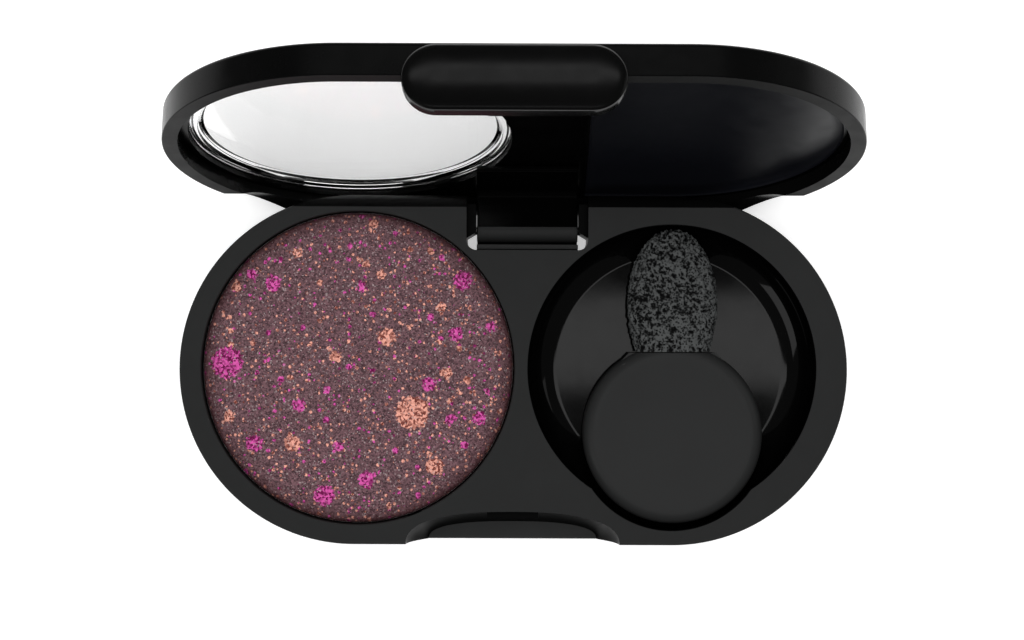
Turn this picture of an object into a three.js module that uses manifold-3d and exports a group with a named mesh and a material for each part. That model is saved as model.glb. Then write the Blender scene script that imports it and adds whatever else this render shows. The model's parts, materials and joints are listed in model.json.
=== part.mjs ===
// A round-ended makeup compact, standing open. A domed eyeshadow sits in its pan at one end, a sponge
// applicator lies in a polished well at the other, and a lid with a clear window turns on one hinge pin.
// Frame: origin at the centre of the underside, +X along the length towards the applicator, +Y towards
// the hinge, +Z up. Every size is in millimetres and every angle in degrees.
import * as THREE from "three";
import { mergeVertices } from "three/addons/utils/BufferGeometryUtils.js";
import Module from "manifold-3d";

const wasm = await Module();
wasm.setup();

// Outline of the compact.
const endRadius = 17.5;
const panRim = 1.83;
const wellRim = 3.12;
const web = 1.37;
const panInset = 0.35;
const wellInset = 0.03;
const recessShift = 0.16;

// Base body and bottom cover.
const coverThickness = 1.6;
const bodyHeight = 7;
const deckThickness = 1.2;
const wall = 1;
const heelInset = 1.9;
const ribHeight = 0.8;
const ribThickness = 0.8;
const ribClearance = 0.2;
const labelRadius = 10.8;
const labelThickness = 0.2;
const labelRecess = 0.25;
const labelClearance = 0.2;

// Pan, its glue and the powder.
const panSeatDepth = 4.65;
const panCupWall = 0.6;
const panClearance = 0.15;
const panHeight = 3.6;
const panMetal = 0.4;
const glueRadius = 9;
const glueThickness = 0.15;
const powderClearance = 0.05;
const powderOverflow = 0.3;
const powderRise = 0.75;
const powderCrown = 4;

// Well for the applicator.
const wellDepth = 5;
const wellFillet = 3;
const bowlWall = 0.8;
const pocketRim = 1.5;
const pocketClearance = 0.59;
const pocketFillet = 1.5;

// Finger scoop in the front wall, with the rib that holds the latch.
const scoopHalfWidth = 10.7;
const scoopDepth = 3.3;
const scoopCurve = 2.5;
const scoopFootWidth = 0.79;
const scoopFootDepth = 0.51;
const scoopWall = 0.9;
const keeperHalfWidth = 2.56;
const keeperReach = 0.65;
const keeperDrop = 0.5;
const keeperHeight = 0.9;

// Hinge.
const hingeX = 1.37;
const hingeInset = 3.5;
const hingeDrop = 2.85;
const barrelRadius = 3.65;
const notchFrontGap = 0.8;
const notchCorner = 1;
const hingeBlockWall = 1.6;
const knuckleRadius = 1.2;
const armWidth = 10.15;
const earGap = 0.1;
const earThickness = 0.925;
const earWallInset = 0.85;
const earTipInset = 0.25;
const earHeight = 2;
const ledgeThickness = 0.55;
const ledgeDrop = 0.5;
const shelfReach = 0.4;
const shelfClearance = 0.35;
const pinRadius = 0.4;
const pinBite = 0.7;
const pinFit = 0.05;
const armBoreClearance = 0.1;

// Lid.
const openAngle = 108;
const rimGap = 0.2;
const lidOverhang = 0.3;
const lidHeight = 3.3;
const skirt = 1.5;
const plate = 0.95;
const reliefClearance = 0.15;
const windowShift = 0.2;
const windowRadius = 14.35;
const windowFrame = 0.85;
const windowFlange = 0.3;
const windowDepth = 1.3;
const windowPane = 0.6;
const windowLip = 0.5;
const windowInset = 0.05;
const fit = 0.1;
const linerDrop = 1;
const linerThickness = 0.8;
const dishThickness = 0.45;
const dishMargin = 1;
const lugReach = 0.65;
const lugWidth = 2;
const lugAngle = 35;
const footLength = 5.8;
const footThickness = 0.6;

// Latch tab on the front of the lid.
const tabHalfWidth = 10.1;
const tabAbove = 2.95;
const tabBelow = 3.4;
const tabFace = 0.6;
const tabSkirtGap = 0.1;
const tabGrip = 1.3;
const hookHalfWidth = 2.3;
const hookHeight = 0.8;
const hookGap = 0.4;
const hookClearance = 0.3;
const pegRadius = 0.6;
const pegSpacing = 12;
const pegHeight = 1.3;
const pegClearance = 0.1;

// Applicator.
const handleRadius = 9.05;
const handleThickness = 4;
const handleEdge = 1.5;
const handleLift = 0.1;
const handleShift = 0.05;
const handleAside = 0.2;
const neckTrim = 0.9;
const neckWidth = 8.8;
const neckThickness = 3.4;
const spongeWidth = 9.4;
const spongeThickness = 4.2;
const spongeEndGap = 0.2;
const spongeWidest = 0.39;
const spongeTaper = 0.19;
const spongeRoundEnd = 81;
const tangWidth = 4;
const tangThickness = 1.2;
const tangLength = 7;

// Fineness of the curves.
const arcSteps = 20;
const filletSteps = 4;
const domeRings = 5;
const scoopLayers = 4;
const spongeRings = 9;
const spongeCornerSteps = 3;
const cornerSteps = 5;

// Places that follow from the sizes above.
const panOpening = endRadius - panRim;
const wellRadius = endRadius - wellRim;
const halfSpan = (panOpening + web + wellRadius + panInset + wellInset) / 2;
const panX = panInset - halfSpan;
const wellX = halfSpan - wellInset;
const deckTop = coverThickness + bodyHeight;
const deckUnder = deckTop - deckThickness;
const heelY = endRadius - heelInset;
const hingeY = endRadius - hingeInset;
const hingeZ = deckTop - hingeDrop;
const notchFront = hingeY - knuckleRadius - notchFrontGap;
const panFloor = deckTop - panSeatDepth;
const panRadius = panOpening - panClearance;
const panBottom = panFloor + glueThickness;
const panTop = panBottom + panHeight;
const wellFloor = deckTop - wellDepth;
const pocketRadius = handleRadius + pocketClearance;
const pocketY = pocketRadius + pocketRim - endRadius;
const rimPlane = deckTop + rimGap;
const lidTop = rimPlane + lidHeight;
const plateUnder = lidTop - plate;
const linerBottom = rimPlane + lidHeight - plate - linerDrop + fit / 2;
const linerTop = linerBottom + linerThickness;
const windowX = panX - windowShift;
const frameRadius = windowRadius + windowFrame;
const flangeRadius = frameRadius + windowFlange;
const windowBottom = lidTop - windowInset - windowDepth;
const lipUnder = lidTop - windowLip;
const handleX = wellX + handleAside;
const handleY = pocketY - handleShift;
const handleBottom = wellFloor + handleLift;
const neckReach = handleRadius - neckTrim;
const neckEnd = handleY + neckReach;
const applicatorZ = handleBottom + handleThickness / 2;
const lidRadius = endRadius + lidOverhang;
const notchWidth = armWidth + 2 * (earGap + earThickness);
const large = 4 * endRadius;
const halfTurn = Math.PI;

// A closed three.js geometry as a solid that can be joined and cut.
function solid(geometry) {
  const bare = geometry.clone();
  bare.deleteAttribute("normal");
  bare.deleteAttribute("uv");
  const merged = mergeVertices(bare, 1e-4);
  const corners = merged.index.array;
  const triangles = [];
  for (let i = 0; i < corners.length; i += 3) {
    const [a, b, c] = corners.slice(i, i + 3);
    if (a !== b && b !== c && c !== a) triangles.push(a, b, c);
  }
  const vertProperties = Float32Array.from(merged.attributes.position.array);
  const triVerts = Uint32Array.from(triangles);
  return new wasm.Manifold(new wasm.Mesh({ numProp: 3, vertProperties, triVerts }));
}

function mesh(name, body, color, roughness, metalness = 0) {
  const made = body.getMesh();
  const geometry = new THREE.BufferGeometry();
  geometry.setAttribute("position", new THREE.BufferAttribute(made.vertProperties, 3));
  geometry.setIndex(new THREE.BufferAttribute(made.triVerts, 1));
  geometry.computeVertexNormals();
  const material = new THREE.MeshStandardMaterial({ color, roughness, metalness });
  const node = new THREE.Mesh(geometry, material);
  node.name = name;
  return node;
}

// Outlines in plan.
function stadium(radius) {
  const shape = new THREE.Shape();
  shape.absarc(halfSpan, 0, radius, -halfTurn / 2, halfTurn / 2, false);
  shape.absarc(-halfSpan, 0, radius, halfTurn / 2, 1.5 * halfTurn, false);
  shape.closePath();
  return shape;
}

function disc(x, y, radius) {
  const shape = new THREE.Shape();
  shape.absarc(x, y, radius, 0, 2 * halfTurn, false);
  return shape;
}

function rounded(x0, x1, y0, y1, corner) {
  const shape = new THREE.Shape();
  shape.absarc(x1 - corner, y0 + corner, corner, -halfTurn / 2, 0, false);
  shape.absarc(x1 - corner, y1 - corner, corner, 0, halfTurn / 2, false);
  shape.absarc(x0 + corner, y1 - corner, corner, halfTurn / 2, halfTurn, false);
  shape.absarc(x0 + corner, y0 + corner, corner, halfTurn, 1.5 * halfTurn, false);
  shape.closePath();
  return shape;
}

function polygon(points) {
  return new THREE.Shape(points.map(([x, y]) => new THREE.Vector2(x, y)));
}

// Solids from outlines and plain shapes.
function prism(shape, bottom, top, curveSegments = arcSteps) {
  const depth = top - bottom;
  const options = { depth, bevelEnabled: false, curveSegments };
  return solid(new THREE.ExtrudeGeometry(shape, options).translate(0, 0, bottom));
}

function round(x, y, radius, bottom, top) {
  return prism(disc(x, y, radius), bottom, top);
}

function capsule(radius, bottom, top) {
  return prism(stadium(radius), bottom, top, arcSteps / 2);
}

function box(x0, x1, y0, y1, z0, z1) {
  const geometry = new THREE.BoxGeometry(x1 - x0, y1 - y0, z1 - z0);
  return solid(geometry.translate((x0 + x1) / 2, (y0 + y1) / 2, (z0 + z1) / 2));
}

function rodAlongX(radius, x0, x1, y, z) {
  const geometry = new THREE.CylinderGeometry(radius, radius, x1 - x0, 2 * arcSteps);
  return solid(geometry.rotateZ(halfTurn / 2).translate((x0 + x1) / 2, y, z));
}

function rodAlongY(radius, y0, y1, x, z) {
  const geometry = new THREE.CylinderGeometry(radius, radius, y1 - y0, arcSteps);
  return solid(geometry.translate(x, (y0 + y1) / 2, z));
}

// A solid of revolution about a vertical axis, from [radius, height] points that run from bottom to top.
function turned(points, x, y) {
  const profile = points.map(([radius, height]) => new THREE.Vector2(radius, height));
  const geometry = new THREE.LatheGeometry(profile, 2 * arcSteps);
  return solid(geometry.rotateX(halfTurn / 2).translate(x, y, 0));
}

// An outline swept upwards, with each point of each layer moved by place(x, y, share of the way up).
function swept(shape, steps, curveSegments, place) {
  const options = { depth: 1, steps, bevelEnabled: false, curveSegments };
  const geometry = new THREE.ExtrudeGeometry(shape, options);
  const points = geometry.attributes.position;
  for (let i = 0; i < points.count; i += 1) {
    points.setXYZ(i, ...place(points.getX(i), points.getY(i), points.getZ(i)));
  }
  return solid(geometry);
}

// A quarter arc of [radius, height] points, from the foot of a fillet to its top.
function fillet(centreRadius, centreHeight, size) {
  const points = [];
  for (let i = 0; i <= filletSteps; i += 1) {
    const angle = ((i / filletSteps) * halfTurn) / 2;
    points.push([centreRadius + size * Math.sin(angle), centreHeight - size * Math.cos(angle)]);
  }
  return points;
}

// A round bowl with a flat floor and a filleted foot, up to the height top.
function bowl(x, y, radius, floor, foot, top) {
  const points = [[0, floor], ...fillet(radius - foot, floor + foot, foot), [radius, top], [0, top]];
  return turned(points, x, y);
}

function wellSpace(grow, top) {
  const floor = wellFloor - grow;
  const well = bowl(wellX, recessShift, wellRadius + grow, floor, wellFillet + grow, top);
  return well.add(bowl(wellX, pocketY, pocketRadius + grow, floor, pocketFillet + grow, top));
}

// The scoop is widest at the deck and narrows towards the cover in a hollow curve.
function scoopSpace(grow, bottom, top) {
  const halfWidth = scoopHalfWidth + grow;
  const depth = scoopDepth + grow;
  const points = [];
  for (let i = 0; i <= arcSteps; i += 1) {
    const x = halfWidth * Math.cos(((arcSteps - i) / arcSteps) * halfTurn);
    const share = 1 - Math.abs(x / halfWidth) ** scoopCurve;
    points.push([x, depth * Math.max(share, 0) ** (1 / scoopCurve)]);
  }
  const outline = polygon([[halfWidth, -depth], [halfWidth, 0], ...points.slice(1, -1).reverse(),
    [-halfWidth, 0], [-halfWidth, -depth]]);
  return swept(outline, scoopLayers, 1, (x, y, share) => {
    const z = bottom + (top - bottom) * share;
    const climb = Math.min(Math.max((z - coverThickness) / bodyHeight, 0), 1);
    const curve = Math.sin((climb * halfTurn) / 2);
    const width = scoopFootWidth + (1 - scoopFootWidth) * curve;
    const reach = scoopFootDepth + (1 - scoopFootDepth) * curve;
    return [x * width, (y > 0 ? y * reach : y) - endRadius, z];
  });
}

function notchSpace(bottom, top) {
  const x0 = hingeX - notchWidth / 2;
  const outline = rounded(x0, x0 + notchWidth, notchFront, notchFront + endRadius, notchCorner);
  return prism(outline, bottom, top, cornerSteps);
}

// What the rear of the base keeps: the heel, and the round barrel about the hinge axis above it.
function rearForm() {
  const heel = box(-large, large, -large, heelY, -large, large);
  return heel.add(rodAlongX(barrelRadius, -large, large, hingeY, hingeZ));
}

// One ear on each side of the arm, with a slanting front, ending in the round barrel behind.
function ear(side) {
  const wallX = hingeX + side * (notchWidth / 2 + fit);
  const tipX = hingeX + side * (armWidth / 2 + earGap);
  const plan = [
    [wallX, hingeY - earWallInset],
    [tipX, hingeY - earTipInset],
    [tipX, hingeY + barrelRadius],
    [wallX, hingeY + barrelRadius],
  ];
  const shape = polygon(side > 0 ? plan.reverse() : plan);
  const block = prism(shape, coverThickness, hingeZ + earHeight);
  return block.intersect(rodAlongX(barrelRadius, -large, large, hingeY, hingeZ));
}

function baseBody() {
  const under = coverThickness - wall;
  const outside = capsule(endRadius, coverThickness, deckTop).intersect(rearForm());
  const inside = capsule(endRadius - wall, under, deckUnder)
    .intersect(box(-large, large, -large, heelY - wall, -large, large));
  const blockHalf = notchWidth / 2 + hingeBlockWall;
  const fillings = round(panX, recessShift, panOpening + panCupWall, panFloor - panCupWall, deckUnder)
    .add(wellSpace(bowlWall, deckUnder))
    .add(scoopSpace(scoopWall, coverThickness, deckTop))
    .add(box(hingeX - blockHalf, hingeX + blockHalf, notchFront - wall, large, coverThickness, deckTop))
    .intersect(outside);
  const armHalf = armWidth / 2;
  const pinHalf = notchWidth / 2 + pinBite + fit;
  const ledgeTop = deckTop - ledgeDrop;
  const keeperY = scoopDepth - endRadius;
  const keeperTop = deckTop - keeperDrop;
  return outside
    .subtract(inside)
    .add(fillings)
    .subtract(round(panX, recessShift, panOpening, panFloor, large))
    .subtract(wellSpace(0, large))
    .subtract(scoopSpace(0, under, deckTop + wall))
    .subtract(notchSpace(under, large))
    .add(ear(-1))
    .add(ear(1))
    .subtract(rodAlongX(pinRadius + pinFit, hingeX - pinHalf, hingeX + pinHalf, hingeY, hingeZ))
    .add(box(hingeX - armHalf, hingeX + armHalf, notchFront - fit, notchFront + ledgeThickness,
      coverThickness, ledgeTop))
    .add(box(hingeX - armHalf, hingeX + armHalf, notchFront - fit, hingeY - knuckleRadius + shelfReach,
      coverThickness, hingeZ - knuckleRadius - shelfClearance))
    .add(box(-keeperHalfWidth, keeperHalfWidth, keeperY - keeperReach, keeperY + scoopWall / 2,
      keeperTop - keeperHeight, keeperTop));
}

function bottomCover() {
  const behind = box(-large, large, heelY, large, -large, large);
  const ribOutside = endRadius - wall - ribClearance;
  const ribStart = scoopHalfWidth + scoopWall + ribClearance;
  const ribTop = coverThickness + ribHeight;
  const cupSpace = panCupWall + ribClearance;
  const seat = coverThickness / 2;
  const ribs = capsule(ribOutside, seat, ribTop)
    .subtract(capsule(ribOutside - ribThickness, 0, large))
    .subtract(box(-ribStart, ribStart, -large, large, 0, large))
    .subtract(box(-large, large, heelY - wall - ribClearance, large, 0, large))
    .subtract(wellSpace(bowlWall + ribClearance, large))
    .subtract(round(panX, recessShift, panOpening + cupSpace, panFloor - cupSpace, large));
  return capsule(endRadius, 0, coverThickness)
    .subtract(behind)
    .subtract(notchSpace(-wall, large))
    .add(ribs)
    .subtract(round(panX, 0, labelRadius + labelClearance, -wall, labelRecess));
}

function undersideLabel() {
  return round(panX, 0, labelRadius, labelRecess - labelThickness, labelRecess);
}

function pan() {
  const inside = panBottom + panMetal;
  return round(panX, recessShift, panRadius, panBottom, panTop)
    .subtract(round(panX, recessShift, panRadius - panMetal, inside, large));
}

function panGlue() {
  return round(panX, recessShift, glueRadius, panFloor, panBottom);
}

// Baked powder: a cake that fills the pan, spreads over its rim and rises to a low dome.
function eyeshadow() {
  const inside = panRadius - panMetal - powderClearance;
  const edge = panTop + powderOverflow;
  const points = [[0, panBottom + panMetal], [inside, panBottom + panMetal], [inside, panTop],
    [panRadius, panTop], [panRadius, edge]];
  for (let i = 1; i <= domeRings; i += 1) {
    const share = i / domeRings;
    points.push([panRadius * (1 - share), edge + powderRise * (1 - (1 - share) ** powderCrown)]);
  }
  return turned(points, panX, recessShift);
}

function hingePin() {
  const half = notchWidth / 2 + pinBite;
  return rodAlongX(pinRadius, hingeX - half, hingeX + half, hingeY, hingeZ);
}

function lidShell() {
  const pegHoles = [-1, 1].map((side) =>
    rodAlongY(pegRadius + pegClearance, -large, 0, (side * pegSpacing) / 2, rimPlane + pegHeight));
  return capsule(lidRadius, rimPlane, lidTop)
    .subtract(capsule(lidRadius - skirt, 0, plateUnder))
    .subtract(round(windowX, recessShift, flangeRadius + fit, plateUnder - fit, lipUnder))
    .subtract(round(windowX, recessShift, frameRadius + fit, plateUnder - fit, large))
    .subtract(rodAlongX(barrelRadius + reliefClearance, -large, large, hingeY, hingeZ))
    .subtract(pegHoles[0])
    .subtract(pegHoles[1]);
}

// Four lugs of the liner reach inwards under the frame of the window and hold it up.
function windowLug(angle) {
  const length = lugReach + fit;
  const thickness = windowBottom - fit - linerBottom;
  const geometry = new THREE.BoxGeometry(length, lugWidth, thickness);
  geometry.translate(flangeRadius + fit - length / 2, 0, linerBottom + thickness / 2);
  return solid(geometry.rotateZ((angle * halfTurn) / 180).translate(windowX, recessShift, 0));
}

function lidLiner() {
  const slotHalf = armWidth / 2 + fit;
  const slotFront = hingeY - knuckleRadius - fit;
  const slotBack = hingeY + knuckleRadius + fit;
  const outline = lidRadius - skirt - fit;
  const dishStart = hingeX + armWidth / 2 + dishMargin;
  const dish = capsule(outline - dishMargin, 0, linerTop - dishThickness)
    .intersect(box(dishStart, large, -large, large, 0, large));
  let liner = capsule(outline, linerBottom, linerTop)
    .subtract(round(windowX, recessShift, flangeRadius + fit / 2, 0, large))
    .subtract(dish)
    .subtract(box(hingeX - slotHalf, hingeX + slotHalf, slotFront, slotBack, 0, large));
  for (const angle of [90 - lugAngle, 90 + lugAngle, 270 - lugAngle, 270 + lugAngle]) {
    liner = liner.add(windowLug(angle));
  }
  return liner;
}

// A clear pane with a thick frame on its inner side. The flange round the frame lies under the lid's lip.
function lidWindow() {
  const top = lidTop - windowInset;
  return round(windowX, recessShift, flangeRadius, windowBottom, lipUnder - fit)
    .add(round(windowX, recessShift, frameRadius, windowBottom, top))
    .subtract(round(windowX, recessShift, windowRadius, windowBottom - fit, top - windowPane));
}

// The arm stands in the slot of the liner, and its foot lies flat against the liner's face.
function hingeArm() {
  const x0 = hingeX - armWidth / 2;
  const x1 = hingeX + armWidth / 2;
  const front = hingeY - knuckleRadius;
  const back = hingeY + knuckleRadius;
  const top = plateUnder - fit;
  const footTop = linerBottom - fit;
  return rodAlongX(knuckleRadius, x0, x1, hingeY, hingeZ)
    .add(box(x0, x1, front, back, hingeZ, top))
    .add(box(x0, x1, front - footLength, front + fit, footTop - footThickness, footTop))
    .subtract(rodAlongX(pinRadius + armBoreClearance, x0 - fit, x1 + fit, hingeY, hingeZ));
}

function latchTab() {
  const inner = -lidRadius - tabSkirtGap;
  const face = inner - tabFace;
  const back = tabGrip - endRadius;
  const top = rimPlane + tabAbove;
  const bottom = rimPlane - tabBelow;
  const pill = rounded(-tabHalfWidth, tabHalfWidth, bottom, top, (tabAbove + tabBelow) / 2);
  const depth = back - face;
  const options = { depth, bevelEnabled: false, curveSegments: cornerSteps };
  const body = solid(new THREE.ExtrudeGeometry(pill, options).rotateX(halfTurn / 2).translate(0, back, 0));
  const hookTop = deckTop - keeperDrop - keeperHeight - hookGap;
  const hookEnd = scoopDepth - endRadius - keeperReach - hookClearance;
  let tab = body
    .subtract(box(-large, large, inner, large, rimPlane - rimGap, large))
    .add(box(-hookHalfWidth, hookHalfWidth, back - fit, hookEnd, hookTop - hookHeight, hookTop));
  for (const side of [-1, 1]) {
    const x = (side * pegSpacing) / 2;
    tab = tab.add(rodAlongY(pegRadius, inner - fit, skirt - lidRadius - fit, x, rimPlane + pegHeight));
  }
  return tab;
}

// The finger disc, its shoulders that narrow to the sponge, and the tongue inside the sponge.
function applicatorHandle() {
  const half = handleThickness / 2;
  const edge = fillet(handleRadius - handleEdge, handleEdge - half, handleEdge);
  const upper = edge.map(([radius, height]) => [radius, -height]).reverse();
  const profile = [[0, -half], ...edge, ...upper, [0, half]];
  const raised = profile.map(([radius, height]) => [radius, height + applicatorZ]);
  const halfNeck = neckWidth / 2;
  const reach = Math.hypot(halfNeck, neckReach);
  const tangent = Math.atan2(neckReach, halfNeck) - Math.acos(handleRadius / reach);
  const touchX = handleRadius * Math.cos(tangent);
  const touchY = handleY + handleRadius * Math.sin(tangent);
  const shoulders = polygon([[handleX - touchX, handleY], [handleX + touchX, handleY],
    [handleX + touchX, touchY], [handleX + halfNeck, neckEnd], [handleX - halfNeck, neckEnd],
    [handleX - touchX, touchY]]);
  const neckHalf = neckThickness / 2;
  const tangHalf = tangThickness / 2;
  return turned(raised, handleX, handleY)
    .subtract(box(-large, large, neckEnd, large, 0, large))
    .add(prism(shoulders, applicatorZ - neckHalf, applicatorZ + neckHalf))
    .add(box(handleX - tangWidth / 2, handleX + tangWidth / 2, handleY, neckEnd + tangLength,
      applicatorZ - tangHalf, applicatorZ + tangHalf));
}

// A soft sponge of oval section, widest near its middle, bored for the tongue of the handle.
function spongeTipPiece() {
  const start = neckEnd + fit;
  const end = recessShift + wellRadius - spongeEndGap;
  const widest = start + spongeWidest * (end - start);
  const centreZ = handleBottom + spongeThickness / 2;
  const halfWidth = spongeWidth / 2;
  const halfHeight = spongeThickness / 2;
  const section = rounded(-halfWidth, halfWidth, -halfHeight, halfHeight, halfHeight - fit);
  const body = swept(section, spongeRings, spongeCornerSteps, (x, y, share) => {
    const along = start + (end - start) * Math.sin((share * spongeRoundEnd * halfTurn) / 180);
    const past = (along - widest) / (end - widest);
    const before = (widest - along) / (widest - start);
    const size = past > 0 ? Math.sqrt(1 - past ** 2) : 1 - spongeTaper * before ** 2;
    return [handleX - x * size, along, centreZ + y * size];
  });
  const boreHalf = tangThickness / 2 + fit;
  return body.subtract(box(handleX - tangWidth / 2 - fit, handleX + tangWidth / 2 + fit, start - fit,
    neckEnd + tangLength + 2 * fit, applicatorZ - boreHalf, applicatorZ + boreHalf));
}

const compact = new THREE.Group();
compact.add(
  mesh("base_body", baseBody(), 0x1d1e1e, 0.5),
  mesh("bottom_cover", bottomCover(), 0x1b1b1c, 0.55),
  mesh("underside_label", undersideLabel(), 0x8f8f8d, 0.7),
  mesh("pan_adhesive", panGlue(), 0xd8d4c8, 0.6),
  mesh("pan", pan(), 0xb9bcbf, 0.3, 1),
  mesh("eyeshadow", eyeshadow(), 0x5f454a, 0.8),
  mesh("hinge_pin", hingePin(), 0x9a9da0, 0.25, 1),
  mesh("applicator_handle", applicatorHandle(), 0x262727, 0.45),
  mesh("sponge_tip", spongeTipPiece(), 0x1c1d1f, 0.95),
);

// The lid group is built shut, and turned about the hinge axis to its open stop.
const shutLid = new THREE.Group();
shutLid.position.set(0, -hingeY, -hingeZ);
shutLid.add(
  mesh("lid_shell", lidShell(), 0x161616, 0.3),
  mesh("lid_liner", lidLiner(), 0x0c0c0d, 0.12),
  mesh("lid_window", lidWindow(), 0xe9eef0, 0.05),
  mesh("hinge_arm", hingeArm(), 0x131314, 0.25),
  mesh("latch_tab", latchTab(), 0x1a1a1b, 0.35),
);
const lidPivot = new THREE.Group();
lidPivot.position.set(0, hingeY, hingeZ);
lidPivot.rotation.x = THREE.MathUtils.degToRad(-openAngle);
lidPivot.add(shutLid);
compact.add(lidPivot);

export default compact;
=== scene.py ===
"""The looks of an open makeup compact: a baked eyeshadow, a sponge applicator and a lid with a window.

Every size below is in millimetres, and every mesh is written in metres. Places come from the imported
frame.
"""

import json
import math

import bpy
import bmesh
import numpy as np
from mathutils import Matrix, Vector, noise


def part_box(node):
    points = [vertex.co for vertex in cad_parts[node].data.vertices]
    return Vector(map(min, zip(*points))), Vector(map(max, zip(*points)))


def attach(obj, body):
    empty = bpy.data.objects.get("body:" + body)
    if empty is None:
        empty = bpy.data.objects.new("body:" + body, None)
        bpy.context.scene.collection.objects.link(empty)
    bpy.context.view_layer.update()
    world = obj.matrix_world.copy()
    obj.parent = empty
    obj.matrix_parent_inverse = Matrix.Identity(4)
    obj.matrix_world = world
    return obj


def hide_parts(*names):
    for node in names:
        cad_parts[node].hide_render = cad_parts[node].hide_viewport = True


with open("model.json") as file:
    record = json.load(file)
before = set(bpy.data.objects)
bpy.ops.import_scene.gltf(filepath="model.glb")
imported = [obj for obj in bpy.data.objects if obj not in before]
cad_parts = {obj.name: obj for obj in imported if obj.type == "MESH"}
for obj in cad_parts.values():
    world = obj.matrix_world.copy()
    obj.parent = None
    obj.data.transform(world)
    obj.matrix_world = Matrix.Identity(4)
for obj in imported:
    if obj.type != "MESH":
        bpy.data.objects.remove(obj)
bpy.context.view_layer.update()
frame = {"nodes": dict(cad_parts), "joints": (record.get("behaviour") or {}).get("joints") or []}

MM = 0.001


def mm_box(node):
    low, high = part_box(node)
    return low / MM, high / MM


# Places taken from the frame.
base_low, base_high = mm_box("base_body")
glue_low, glue_high = mm_box("pan_adhesive")
powder_low, powder_high = mm_box("eyeshadow")
handle_low, handle_high = mm_box("applicator_handle")
sponge_low, sponge_high = mm_box("sponge_tip")
lid_high = mm_box("lid_shell")[1]
window_low, window_high = mm_box("lid_window")
hinge = next(joint for joint in frame["joints"] if joint["name"] == "lid_hinge")

END_RADIUS = -base_low.y
HALF_SPAN = base_high.x - END_RADIUS
COVER_TOP = base_low.z
DECK = base_high.z
PAN_X = (glue_low.x + glue_high.x) / 2
PAN_Y = (glue_low.y + glue_high.y) / 2
PAN_FLOOR = glue_low.z
POWDER_RADIUS = (powder_high.x - powder_low.x) / 2
HANDLE_X = (handle_low.x + handle_high.x) / 2
HANDLE_RADIUS = (handle_high.x - handle_low.x) / 2
HANDLE_Y = handle_low.y + HANDLE_RADIUS
HINGE_X, HINGE_Y, HINGE_Z = (value / MM for value in hinge["pos_m"])
OPEN_ANGLE = -math.radians(hinge["range_deg"][0])
LID_RADIUS = lid_high.x - HALF_SPAN
WINDOW_X = (window_low.x + window_high.x) / 2
FLANGE_RADIUS = (window_high.x - window_low.x) / 2

# Sizes that the frame's boxes don't give.
WELL_RIM = 3.12
PAN_GAP = 0.15
WELL_INSET = 0.03
POCKET_GAP = 0.59
POCKET_RIM = 1.5
WELL_DEPTH = 5.0
WELL_FILLET = 3.0
POCKET_FILLET = 1.5
HEEL_INSET = 1.9
BARREL_RADIUS = 3.65
NOTCH_WIDTH = 12.2
NOTCH_FRONT = HINGE_Y - 2.0
NOTCH_CORNER = 1.0
ARM_WIDTH = 10.15
KNUCKLE_RADIUS = 1.2
RIM_GAP = 0.2
LID_HEIGHT = 3.3
SKIRT = 1.5
PLATE = 0.95
WINDOW_FLANGE = 0.3
WINDOW_FRAME = 0.85
WINDOW_DEPTH = 1.3
WINDOW_PANE = 0.6
WINDOW_LIP = 0.5
SCOOP_HALF_WIDTH = 10.7
SCOOP_DEPTH = 3.3
SCOOP_CURVE = 2.5
SCOOP_FOOT_WIDTH = 0.79
SCOOP_FOOT_DEPTH = 0.51
EDGE = 0.16
COVER_EDGE = 0.1
EAR_GAP = 0.1
EAR_BACK = 2.6
GROOVE_WIDTH = 0.12
KEEPER_HALF = 2.56
LABEL_GAP = 0.2
RELIEF_GAP = 0.15
FIT = 0.1
LINER_THICKNESS = 0.8
LINER_SPACE = 0.95
DISH_FLOOR = 0.35
FOOT_LENGTH = 5.8
FOOT_THICKNESS = 0.6
SOFTENED_CORNER = 0.12
TAB_HALF = 10.1
TAB_ABOVE = 2.95
TAB_BELOW = 3.4
TAB_DEPTH = 0.6
HOOK_HALF = 2.3
HOOK_END = -15.15
FLOOR_HALF = 4000
LARGE = 100.0

PAN_OPENING = POWDER_RADIUS + PAN_GAP
WELL_X = HALF_SPAN - WELL_INSET
WELL_RADIUS = END_RADIUS - WELL_RIM
WELL_FLOOR = DECK - WELL_DEPTH
POCKET_RADIUS = HANDLE_RADIUS + POCKET_GAP
POCKET_Y = POCKET_RADIUS + POCKET_RIM - END_RADIUS
HEEL_Y = END_RADIUS - HEEL_INSET
RIM = DECK + RIM_GAP
LID_TOP = RIM + LID_HEIGHT
PLATE_UNDER = LID_TOP - PLATE
LINER_BOTTOM = PLATE_UNDER - LINER_SPACE
FRAME_RADIUS = FLANGE_RADIUS - WINDOW_FLANGE
WINDOW_TOP = LID_TOP - 0.05
WINDOW_BOTTOM = WINDOW_TOP - WINDOW_DEPTH

lid_turn = (
    Matrix.Translation((0, HINGE_Y, HINGE_Z))
    @ Matrix.Rotation(-OPEN_ANGLE, 4, "X")
    @ Matrix.Translation((0, -HINGE_Y, -HINGE_Z))
)


# Meshes.
def make(name, points, faces, turn=None):
    """A mesh object from points in millimetres, turned with the lid where turn is given."""
    if turn is not None:
        points = [turn @ Vector(p) for p in points]
    mesh = bpy.data.meshes.new(name)
    mesh.from_pydata([tuple(c * MM for c in p) for p in points], [], faces)
    mesh.update()
    piece = bpy.data.objects.new(name, mesh)
    bpy.context.scene.collection.objects.link(piece)
    tidy(piece)
    return piece


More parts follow.
